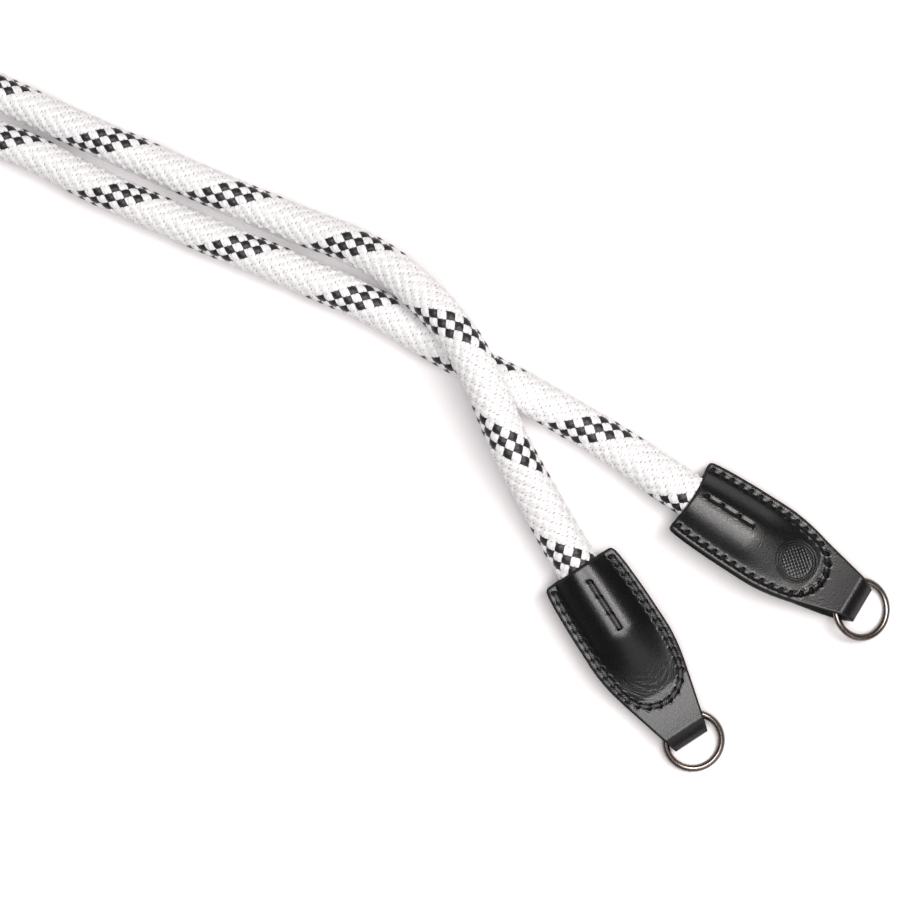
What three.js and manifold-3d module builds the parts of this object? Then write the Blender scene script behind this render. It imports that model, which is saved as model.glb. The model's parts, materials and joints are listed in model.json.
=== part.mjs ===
// A rope camera strap lying on a table: one length of thick braided rope whose two ends run into
// folded, stitched leather ends, each holding a round metal ring.
// Millimetres, +Z up, the table top is z = 0. +X runs along the strap from its bight to its ends.
import * as THREE from 'three';
import * as BufferGeometryUtils from 'three/addons/utils/BufferGeometryUtils.js';
import Module from 'manifold-3d';

const wasm = await Module();
wasm.setup();

// ---------------------------------------------------------------- driving dimensions

const ROPE = { radius: 5, sides: 12, steps: 76 };

const LEATHER = {
  wall: 1.3,            // one layer
  length: 56,           // mouth to the outside of the fold
  stitchInset: 2.9,     // edge of the flat flange to the foot of the rope's bulge
  bulgeHeight: 6.6,     // middle of the tab to the top of the bulge
  bulgeFull: 21,        // the bulge keeps its height this far from the mouth
  bulgeRoundFrom: 34,   // here the U of the stitching starts to close
  bulgeEnd: 42,         // and here it is closed
  pocketEnd: 39,        // the two layers meet here, past the end of the rope
  loopStart: 43,        // the layers part again round the ring
  loopFull: 48.6,
  loopHeight: 3.4,      // middle of the tab to the outside of the loop
  bendFrom: 20,         // the tab droops and untwists between these two stations
  bendTo: 43,
  bulgeCrown: 1.35,     // how steeply the bulge falls away to its foot
  pocketCrown: 1.15,
  pocketSideWall: 0.9,  // across the foot of the bulge, where the leather is stretched thin
  narrowest: 0.5,       // least half width of the bulge and the pocket, at the bottom of the U
  slit: 0.12,           // half height of the pocket and the tunnel where their walls come together
  bulgeSink: 0.02,      // how far the bulge's foot sinks into the flat layers
};

// how far a cutting block runs past the face it opens
const CUT_PAST = 1;

// a rounded end stops this many degrees round, so that it keeps a narrow flat face
const ROUND_END = 80;

// grid steps along and across each block
const GRID = {
  layers: [30, 6],
  bulge: [20, 14],
  pocket: [16, 10],
  tunnel: [12, 2],
};

// half width of the tab along its length
const TAB_OUTLINE = [
  { t: 0, half: 10.7 },
  { t: 3, half: 11.4 },
  { t: 13.5, half: 11.9 },
  { t: 27, half: 12 },
  { t: 33.5, half: 11.1 },
  { t: 42.4, half: 8.8 },
  { t: 56, half: 5.1 },
];

const RING = { radius: 7.65, wire: 0.9, sides: 10, steps: 44, pivot: 50.6 };

// Where each leather end lies: its mouth, the way it points, how far it rolls over onto its left
// flange at the mouth and at the loop, and how far the loop droops. The ring leans until it
// touches the table.
const ENDS = [
  {
    side: 'left', mouth: [157.1, -20.6, 6.7], heading: -31.8,
    rollMouth: 0, rollLoop: 0, droop: 3.3, ringCentre: 56.3, ringShift: 0.5, ringTilt: 10.6,
  },
  {
    side: 'right', mouth: [175.3, 9.9, 6.75], heading: -7.5,
    rollMouth: 15, rollLoop: 14, droop: 1.6, ringCentre: 56.55, ringShift: -0.5, ringTilt: 15.7,
  },
];

// The rope's centre line from inside the left leather end, over its own other run, round the bight
// and back into the right leather end.
const ROPE_ROUTE = [
  [175.4, -31.9, 6.7],
  [157.1, -20.6, 6.75],
  [141.6, -9.8, 9.0],
  [126.8, 1.1, 12.9],
  [110.1, 16.0, 15.5],
  [97.6, 24.2, 14.4],
  [80.3, 30.6, 11.1],
  [65.7, 32.5, 8.0],
  [48.2, 31.5, 5.5],
  [30.7, 30.8, 5.02],
  [-5.1, 30.0, 5.02],
  [-38.8, 29.7, 5.02],
  [-67.9, 30.2, 5.02],
  [-101.6, 33.7, 5.02],
  [-134.3, 41.7, 5.02],
  [-165.9, 50.7, 5.02],
  [-195.9, 53.5, 5.02],
  [-215.1, 48.5, 5.02],
  [-229.1, 34.7, 5.02],
  [-234.25, 15.7, 5.02],
  [-229.1, -3.3, 5.02],
  [-215.1, -17.2, 5.02],
  [-195.9, -22.3, 5.02],
  [-165.9, -19.3, 5.02],
  [-134.3, -9.3, 5.02],
  [-101.6, 1.7, 5.02],
  [-67.9, 11.7, 5.02],
  [-34.0, 18.3, 5.02],
  [2.7, 18.0, 5.02],
  [37.9, 19.0, 5.02],
  [72.4, 20.1, 5.02],
  [92.1, 18.7, 5.02],
  [110.9, 17.0, 5.02],
  [128.7, 16.0, 5.02],
  [146.0, 14.3, 5.2],
  [160.1, 12.3, 6.1],
  [175.3, 9.9, 6.75],
  [196.6, 7.1, 6.75],
];

// ---------------------------------------------------------------- materials

const materials = {
  rope: new THREE.MeshStandardMaterial({ color: 0xf1efec, roughness: 0.75, metalness: 0 }),
  leather: new THREE.MeshStandardMaterial({ color: 0x17171a, roughness: 0.45, metalness: 0 }),
  ring: new THREE.MeshStandardMaterial({ color: 0x77716d, roughness: 0.2, metalness: 1 }),
};

// ---------------------------------------------------------------- solids

function toSolid(geometry) {
  const bare = geometry.clone();
  bare.deleteAttribute('normal');
  bare.deleteAttribute('uv');
  const merged = BufferGeometryUtils.mergeVertices(bare, 1e-4);
  return new wasm.Manifold(new wasm.Mesh({
    numProp: 3,
    vertProperties: new Float32Array(merged.attributes.position.array),
    triVerts: new Uint32Array(merged.index.array),
  }));
}

function toGeometry(solid) {
  const mesh = solid.getMesh();
  const geometry = new THREE.BufferGeometry();
  geometry.setAttribute('position', new THREE.BufferAttribute(new Float32Array(mesh.vertProperties), 3));
  geometry.setIndex(new THREE.BufferAttribute(new Uint32Array(mesh.triVerts), 1));
  geometry.computeVertexNormals();
  return geometry;
}

const smooth = (x, from, to) => THREE.MathUtils.smoothstep(x, from, to);

// ---------------------------------------------------------------- the leather end's form
// t runs from the mouth towards the ring, s across the tab to its left, n up from its middle.

function halfWidth(t) {
  const last = TAB_OUTLINE.length - 1;
  const next = TAB_OUTLINE.findIndex((row) => row.t >= t);
  if (next === 0) return TAB_OUTLINE[0].half;
  if (next < 0) return TAB_OUTLINE[last].half;
  const a = TAB_OUTLINE[next - 1];
  const b = TAB_OUTLINE[next];
  return THREE.MathUtils.mapLinear(t, a.t, b.t, a.half, b.half);
}

function bulgeHalfWidth(t) {
  const open = halfWidth(Math.min(t, LEATHER.bulgeRoundFrom)) - LEATHER.stitchInset;
  const closing = Math.max(0, t - LEATHER.bulgeRoundFrom) / (LEATHER.bulgeEnd - LEATHER.bulgeRoundFrom);
  return Math.max(LEATHER.narrowest, open * Math.sqrt(Math.max(0, 1 - closing * closing)));
}

function bulgeTop(t) {
  return LEATHER.bulgeHeight - (LEATHER.bulgeHeight - LEATHER.wall) * smooth(t, LEATHER.bulgeFull, LEATHER.bulgeEnd);
}

function layerHeight(t) {
  return LEATHER.wall + (LEATHER.loopHeight - LEATHER.wall) * smooth(t, LEATHER.loopStart, LEATHER.loopFull);
}

// A closed block with a grid of steps along t and s, whose points shape(u, v, w) moves to t, s, n,
// with u from 0 to 1 and v and w from -1 to 1, and place() sets down on the table.
function shapedBlock([alongSteps, acrossSteps], shape, place) {
  const block = new THREE.BoxGeometry(1, 2, 2, alongSteps, acrossSteps, 1);
  const position = block.attributes.position;
  for (let i = 0; i < position.count; i += 1) {
    const [t, s, n] = shape(position.getX(i) + 0.5, position.getY(i), position.getZ(i));
    const point = place(t, s, n);
    position.setXYZ(i, point.x, point.y, point.z);
  }
  return toSolid(block);
}

// A run along t that ends in a half round of the given radius: station u gives t and the height's
// share of its full value.
function roundedRun(u, from, to, radius) {
  const straight = to - radius - from;
  const arc = radius * THREE.MathUtils.degToRad(ROUND_END);
  const along = u * (straight + arc);
  if (along <= straight) return { t: from + along, share: 1 };
  const angle = (along - straight) / radius;
  return { t: to - radius + radius * Math.sin(angle), share: Math.cos(angle) };
}

// Sets a point of the leather end's own frame down where this end lies, drooped and rolled.
function placer(end) {
  const heading = THREE.MathUtils.degToRad(end.heading);
  const along = new THREE.Vector3(Math.cos(heading), Math.sin(heading), 0);
  const left = new THREE.Vector3(-along.y, along.x, 0);
  const up = new THREE.Vector3(0, 0, 1);
  const mouth = new THREE.Vector3(...end.mouth);

  function axes(t) {
    const bent = smooth(t, LEATHER.bendFrom, LEATHER.bendTo);
    const roll = THREE.MathUtils.degToRad(THREE.MathUtils.lerp(end.rollMouth, end.rollLoop, bent));
    return {
      along,
      across: left.clone().multiplyScalar(Math.cos(roll)).addScaledVector(up, -Math.sin(roll)),
      normal: left.clone().multiplyScalar(Math.sin(roll)).addScaledVector(up, Math.cos(roll)),
      middle: mouth.clone().addScaledVector(along, t).addScaledVector(up, -end.droop * bent),
    };
  }

  function place(t, s, n) {
    const frame = axes(t);
    return frame.middle.addScaledVector(frame.across, s).addScaledVector(frame.normal, n);
  }

  return { axes, place };
}

function leatherEndGeometry(end) {
  const { place } = placer(end);
  const tunnelHeight = LEATHER.loopHeight - LEATHER.wall;
  const tunnelStart = LEATHER.loopStart + CUT_PAST;
  const bulgeFoot = LEATHER.wall - LEATHER.bulgeSink;

  // two layers lying on each other, opening into the loop round the ring
  const layers = shapedBlock(GRID.layers, (u, v, w) => {
    const { t, share } = roundedRun(u, 0, LEATHER.length, LEATHER.loopHeight);
    return [t, v * halfWidth(t), w * layerHeight(t) * share];
  }, place);

  // the bulge over the end of the rope
  const bulge = shapedBlock(GRID.bulge, (u, v, w) => {
    const t = u * LEATHER.bulgeEnd;
    const crown = (1 - v * v) ** LEATHER.bulgeCrown;
    return [t, v * bulgeHalfWidth(t), w * (bulgeFoot + (bulgeTop(t) - bulgeFoot) * crown)];
  }, place);

  // the room inside the bulge, open at the mouth
  const pocket = shapedBlock(GRID.pocket, (u, v, w) => {
    const t = THREE.MathUtils.lerp(-CUT_PAST, LEATHER.pocketEnd, u);
    const crown = (1 - v * v) ** LEATHER.pocketCrown;
    const outside = bulgeHalfWidth(t + LEATHER.bulgeEnd - LEATHER.pocketEnd);
    const half = Math.max(LEATHER.narrowest, outside - LEATHER.pocketSideWall);
    const top = bulgeTop(t + CUT_PAST) - LEATHER.wall;
    return [t, v * half, w * (LEATHER.slit + (top - LEATHER.slit) * crown)];
  }, place);

  // the tunnel that the ring runs through, open at both sides
  const tunnel = shapedBlock(GRID.tunnel, (u, v, w) => {
    const { t, share } = roundedRun(u, tunnelStart, LEATHER.length - LEATHER.wall, tunnelHeight);
    const opening = smooth(t, tunnelStart, LEATHER.loopFull);
    const height = LEATHER.slit + (tunnelHeight - LEATHER.slit) * opening;
    return [t, v * (halfWidth(t) + CUT_PAST), w * height * share];
  }, place);

  return toGeometry(layers.add(bulge).subtract(pocket).subtract(tunnel));
}

function leatherEnd(end) {
  const mesh = new THREE.Mesh(leatherEndGeometry(end), materials.leather);
  mesh.name = `leather_end_${end.side}`;
  return mesh;
}

// ---------------------------------------------------------------- ring and rope

function ring(end) {
  const { axes } = placer(end);
  const frame = axes(RING.pivot);
  const tilt = THREE.MathUtils.degToRad(end.ringTilt);
  const out = frame.along.clone().multiplyScalar(Math.cos(tilt)).addScaledVector(frame.normal, -Math.sin(tilt));
  const face = out.clone().cross(frame.across);
  const centre = frame.middle.clone()
    .addScaledVector(frame.across, end.ringShift)
    .addScaledVector(out, end.ringCentre - RING.pivot);

  const geometry = new THREE.TorusGeometry(RING.radius, RING.wire, RING.sides, RING.steps);
  const mesh = new THREE.Mesh(geometry, materials.ring);
  mesh.name = `ring_${end.side}`;
  mesh.setRotationFromMatrix(new THREE.Matrix4().makeBasis(out, frame.across, face));
  mesh.position.copy(centre);
  return mesh;
}

function rope() {
  const route = new THREE.CatmullRomCurve3(ROPE_ROUTE.map((point) => new THREE.Vector3(...point)));
  const section = new THREE.Shape();
  for (let i = 0; i < ROPE.sides; i += 1) {
    const angle = ((i + 0.5) / ROPE.sides) * 2 * Math.PI;
    const x = ROPE.radius * Math.cos(angle);
    const y = ROPE.radius * Math.sin(angle);
    if (i === 0) section.moveTo(x, y);
    else section.lineTo(x, y);
  }
  const geometry = new THREE.ExtrudeGeometry(section, { steps: ROPE.steps, extrudePath: route });
  const mesh = new THREE.Mesh(geometry, materials.rope);
  mesh.name = 'rope';
  return mesh;
}

// ---------------------------------------------------------------- assembly

const strap = new THREE.Group();
strap.add(rope());
for (const end of ENDS) {
  strap.add(leatherEnd(end), ring(end));
}

export default strap;
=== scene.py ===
"""A rope camera strap lying on a table: the finish of its braided rope, leather ends and rings.

Metres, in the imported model's frame: +Z up, the table at z = 0, +X from the bight to the rings.
Sizes are written in millimetres and turned to metres by MM.
"""

import json
import math
from bisect import bisect_right

import bmesh
import bpy
from mathutils import Matrix, Vector, noise


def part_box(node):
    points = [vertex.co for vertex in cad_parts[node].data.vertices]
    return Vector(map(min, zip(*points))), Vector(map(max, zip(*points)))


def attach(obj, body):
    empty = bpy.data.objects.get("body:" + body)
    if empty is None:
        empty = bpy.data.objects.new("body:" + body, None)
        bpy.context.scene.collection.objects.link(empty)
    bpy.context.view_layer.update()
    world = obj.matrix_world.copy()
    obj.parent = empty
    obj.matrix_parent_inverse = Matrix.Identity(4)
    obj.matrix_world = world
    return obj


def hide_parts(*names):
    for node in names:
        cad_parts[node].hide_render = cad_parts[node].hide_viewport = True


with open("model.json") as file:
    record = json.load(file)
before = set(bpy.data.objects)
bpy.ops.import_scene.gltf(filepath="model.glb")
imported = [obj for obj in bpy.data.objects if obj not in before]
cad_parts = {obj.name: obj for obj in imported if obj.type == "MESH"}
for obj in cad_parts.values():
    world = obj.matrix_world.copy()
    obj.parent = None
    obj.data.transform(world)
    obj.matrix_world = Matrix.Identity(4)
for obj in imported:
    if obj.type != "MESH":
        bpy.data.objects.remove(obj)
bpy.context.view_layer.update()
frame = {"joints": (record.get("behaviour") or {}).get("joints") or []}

MM = 0.001
UP = Vector((0, 0, 1))

# ---------------------------------------------------------------- the rope's sizes

ROPE_WIDTH = 10.0 * MM

# The rope's centre line, in millimetres, from inside the left leather end, over its own other run,
# round the bight and back into the right leather end.
ROPE_ROUTE = [
    (175.4, -31.9, 6.7), (157.1, -20.6, 6.75), (141.6, -9.8, 9.0), (126.8, 1.1, 12.9),
    (110.1, 16.0, 15.5), (97.6, 24.2, 14.4), (80.3, 30.6, 11.1), (65.7, 32.5, 8.0),
    (48.2, 31.5, 5.5), (30.7, 30.8, 5.02), (-5.1, 30.0, 5.02), (-38.8, 29.7, 5.02),
    (-67.9, 30.2, 5.02), (-101.6, 33.7, 5.02), (-134.3, 41.7, 5.02), (-165.9, 50.7, 5.02),
    (-195.9, 53.5, 5.02), (-215.1, 48.5, 5.02), (-229.1, 34.7, 5.02), (-234.25, 15.7, 5.02),
    (-229.1, -3.3, 5.02), (-215.1, -17.2, 5.02), (-195.9, -22.3, 5.02), (-165.9, -19.3, 5.02),
    (-134.3, -9.3, 5.02), (-101.6, 1.7, 5.02), (-67.9, 11.7, 5.02), (-34.0, 18.3, 5.02),
    (2.7, 18.0, 5.02), (37.9, 19.0, 5.02), (72.4, 20.1, 5.02), (92.1, 18.7, 5.02),
    (110.9, 17.0, 5.02), (128.7, 16.0, 5.02), (146.0, 14.3, 5.2), (160.1, 12.3, 6.1),
    (175.3, 9.9, 6.75), (196.6, 7.1, 6.75),
]
ROUTE_STEPS = 16            # steps between two points of the route

# Half width and half height of the rope by the distance along it, in millimetres: each end is
# squeezed flat on its way into the leather.
ROPE_SECTION = [
    {"arc": 17, "half_width": 6.1, "half_height": 3.6},
    {"arc": 22, "half_width": 6.1, "half_height": 4.4},
    {"arc": 30, "half_width": 6.0, "half_height": 4.7},
    {"arc": 60, "half_width": 5.6, "half_height": 4.9},
    {"arc": 110, "half_width": 5.4, "half_height": 5.0},
    {"arc": 200, "half_width": 5.05, "half_height": 5.0},
    {"arc": 700, "half_width": 5.05, "half_height": 5.0},
    {"arc": 800, "half_width": 5.3, "half_height": 5.0},
    {"arc": 850, "half_width": 5.5, "half_height": 4.9},
    {"arc": 884, "half_width": 6.0, "half_height": 4.7},
    {"arc": 892, "half_width": 6.0, "half_height": 4.4},
    {"arc": 897, "half_width": 6.0, "half_height": 3.2},
]

# Where along the rope, in millimetres, the black band passes over the top on each run. It takes
# one turn from each to the next, and BIGHT_TURNS round the bight, from run to run.
BAND_TOPS_LEFT = [24.0, 61.0, 95.8, 131.0, 167.6, 203.8]
BAND_TOPS_RIGHT = [683.2, 719.0, 754.0, 788.7, 825.0, 860.8, 897.2]
BIGHT_TURNS = 14

YARNS = 10                  # yarn pairs each way round the rope
BLACK_YARNS = 3
BRAID_ANGLE = 42            # degrees between a yarn and the rope's length
CELL_STEPS = 4              # mesh steps across one crossing
YARN_HEIGHT = 0.55 * MM     # from the pit between four crossings to the top of a yarn
ON_BORDER = 1e-4            # a point this near a crossing's border belongs to the next crossing
SPLIT_SLANT = 0.7           # how far the split between a pair of ends leans over as they dive

# The pattern of filaments moves on by this much, in millimetres, from one crossing to the next
# each way, and this many times as far along the yarn as across it, so that no two look alike.
SLIP = {"one_way": 7.3, "other_way": 3.1, "along": 2.7}

# ---------------------------------------------------------------- the leather ends' sizes

# millimetres, with t measured from the mouth towards the ring
LEATHER = {
    "wall": 1.25,
    "length": 56,
    "bulge_inset": 2.9,     # edge of the tab to the foot of the rope's bulge
    "bulge_least": 0.3,     # a bulge with a smaller half width than this is left out
    "bulge_height": 5.4,
    "bulge_flat": 2.3,      # how flat the bulge is on top
    "bulge_crown": 1.35,    # and how steeply it falls away to its foot
    "bulge_full": 19.5,     # the rope ends here inside, and the leather slopes down from its end
    "bulge_knee": 0.08,     # how softly the slope begins
    "bulge_end": 42.2,
    "u_from": 34,           # the U of the seam starts to close here
    "seam_end": 43,
    "seam_inset": 2.0,
    "loop_start": 39,       # the two layers part round the ring from here
    "loop_full": 51.2,
    "loop_full_below": 48.0,
    "loop_height": 3.4,
    "fold_curve": 1.35,     # the fold's curve is this many times as long as its reach past loop_full
    "bend_from": 20,        # the tab droops and untwists between these two
    "bend_to": 52,
    "corner": 1.0,          # round of the mouth's corners
    "edge_round": 0.7,      # the faces are rounded off this far in from the edge
    "edge_drop": 0.4,       # they fall away this much there,
    "edge_share": 0.25,     # but by no more than this share of their height
    "edge_burnish": 0.22,   # round of the cut edge itself
    "valley_width": 1.4,    # the middle row draws the bulge's top in over this width
    "valley_fade": 3,       # and ends over this length
    "outline_ease": 3.0,    # the outline's bends are eased over this length
}

# The ring draws the fold's outside out to an ogive, a Bezier curve. Its first handle runs on past
# the flat top and rises a little, and its second lies behind the tip at a share of the height.
FOLD = {"run_on": 1.6, "rise": 0.1, "nose": 0.5, "nose_share": 0.42}

# half width of the tab along its length
TAB_OUTLINE = [
    {"t": 0, "half": 10.7},
    {"t": 3, "half": 11.4},
    {"t": 13.5, "half": 11.9},
    {"t": 27, "half": 12},
    {"t": 33.5, "half": 11.1},
    {"t": 42.4, "half": 8.8},
    {"t": 56, "half": 5.1},
]
HIDE_STEP = 0.3             # mesh step of the leather
LOWER_PATTERN = 100         # the lower layer's pattern lies this far from the upper one's
TABLE_GAP = 0.02 * MM       # the leather and its thread rest this far over the table

SEAM_PITCH = 3.0
SEAM_START = 2.0
SEAM_STEP = 0.1             # step along the straight sides of the seam's U
SEAM_BEND_STEPS = 140       # steps round its bend
CENTRE_HOLES = [4.3, 9.0, 14.3, 19.5]
STITCH_REACH = 5            # a stitch farther off than this doesn't matter
NO_STITCH = 9.0             # and this stands for how far off it is

# A stitch hole is a slanting oval, left by a pricking iron and drawn open by the thread. It is
# full depth out to its floor and ends at its rim, both in half sizes of the oval.
HOLE = {"half_length": 0.9, "half_width": 0.55, "slant": 35, "depth": 1.0, "floor": 0.4, "rim": 1.3}
GROOVE = {"depth": 0.25, "half_width": 0.95, "floor": 0.2}

# A stitch thins to a share of its thickness where it dives into its holes. Its fraying is a noise,
# so fine over the leather and round the thread.
STITCH = {"thinned": 0.6, "dive": 0.9, "lumps_over": 2.3, "lumps_round": 3}

# The stamp's rim is two pressed lines, rim apart. The hatching inside it fades out from field_in
# to field_out short of the rim.
STAMP = {
    "t": 34.1, "radius": 5.3, "rim": 0.8, "line_floor": 0.08, "line_edge": 0.34,
    "field_in": 1.4, "field_out": 0.8, "lozenge": 0.9, "hatching_turn": 38,
}

# Creases follow ovals about a point on the tab's middle line, which a squeeze along the tab makes
# circles. They begin past the point and fade out at the seam, and their noise is so fine outwards,
# in lines a millimetre, and round, in lines a radian.
CREASES = {
    "squeeze": 0.62, "squeezed_middle": 16.5, "start": 1.0, "full": 6.5, "fade": 9.0, "end": 9.8,
    "finely_out": 1.7, "finely_round": 2.2,
}

# How each leather end lies, as its solid does: its mouth, the way it points, how far it rolls over
# onto its left flange at the mouth and at the loop, and how far the loop droops.
# Then what the solid leaves out. curl is how much flatter the left flange is pressed, in degrees a
# millimetre. mouth_from is where the mouth's edge starts, and mouth_hollow how far it is cut back
# in the middle. The bulge has a share of its height and slopes down past the rope's end with a
# power. row_aside is how far left the centre row lies, and valley how deep it draws the bulge in.
# thread_stands is how far the thread's top stands over the leather, or lies in it if negative.
ENDS = [
    {
        "side": "left", "mouth": (157.1, -20.6, 6.7), "heading": -31.8,
        "roll_mouth": 0, "roll_loop": 0, "droop": 3.3,
        "curl": 0, "mouth_from": -0.15, "mouth_hollow": -0.3, "bulge_share": 1.0,
        "bulge_slope": 2.0, "row_aside": 0.4, "valley": 0.3, "stamped": False,
        "thread_half": 0.42, "thread_stands": 0.2, "thread_fray": 0.6,
    },
    {
        "side": "right", "mouth": (175.3, 9.9, 6.75), "heading": -7.5,
        "roll_mouth": 15, "roll_loop": 14, "droop": 1.6,
        "curl": 0.4, "mouth_from": 0.3, "mouth_hollow": 0.9, "bulge_share": 0.9,
        "bulge_slope": 1.4, "row_aside": 1.2, "valley": 0.08, "stamped": True,
        "thread_half": 0.3, "thread_stands": -0.42, "thread_fray": 0.05,
    },
]

RING_WIRE = 0.9 * MM        # half the wire's thickness
RING_RADIUS = 7.65 * MM     # to the middle of the wire
WELD = 0.01 * MM            # points nearer to each other than this are merged

# ---------------------------------------------------------------- the camera and the lights

VIEW_TURN = 25              # degrees the camera is turned about the vertical
VIEW_CENTRE = (112.1, -6.3)
VIEW_SPAN = 243             # width of the view, at the middle of the rope's height
VIEW_DISTANCE = 950
SENSOR = 36

SOFTBOX_DISTANCE = 1.3
SOFTBOXES = [
    {"name": "overhead_softbox", "azimuth": -37, "elevation": 86, "size": 0.8, "power": 12.5,
     "colour": "#FFFDFC"},
    {"name": "key_softbox", "azimuth": 50, "elevation": 64, "size": 0.45, "power": 8.2,
     "colour": "#FFFBF8"},
    {"name": "side_card", "azimuth": -25, "elevation": 38, "size": 0.7, "power": 1.2,
     "colour": "#FFFDFC"},
]
TABLE_HALF = 3.0


def smoothstep(x, start, end):
    share = min(1.0, max(0.0, (x - start) / (end - start)))
    return share * share * (3 - 2 * share)


def between(rows, key, value, wanted):
    """Reads a table by its key column, in straight lines between its rows."""
    keys = [row[key] for row in rows]
    after = min(max(bisect_right(keys, value), 1), len(rows) - 1)
    low, high = rows[after - 1], rows[after]
    share = min(1.0, max(0.0, (value - low[key]) / (high[key] - low[key])))
    return low[wanted] + (high[wanted] - low[wanted]) * share


# ---------------------------------------------------------------- materials


def hex_colour(code):
    """An sRGB hex colour as linear red, green, blue and alpha."""
    channels = [int(code[i:i + 2], 16) / 255 for i in (1, 3, 5)]
    linear = [c / 12.92 if c <= 0.04045 else ((c + 0.055) / 1.055) ** 2.4 for c in channels]
    return (*linear, 1.0)


def add(tree, kind, inputs=None, **settings):
    """Adds a shader node, with its settings, and its inputs as values or links."""
    made = tree.nodes.new(kind)
    for name, value in settings.items():
        setattr(made, name, value)
    for name, value in (inputs or {}).items():
        if isinstance(value, bpy.types.NodeSocket):
            tree.links.new(value, made.inputs[name])
        else:
            made.inputs[name].default_value = value
    return made


def new_material(name):
    """An empty node material, and its tree."""
    material = bpy.data.materials.new(name)
    material.use_nodes = True
    tree = material.node_tree
    tree.nodes.clear()
    return material, tree


def finish_material(tree, shader):
    output = add(tree, "ShaderNodeOutputMaterial")
    tree.links.new(shader.outputs["BSDF"], output.inputs["Surface"])


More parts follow.
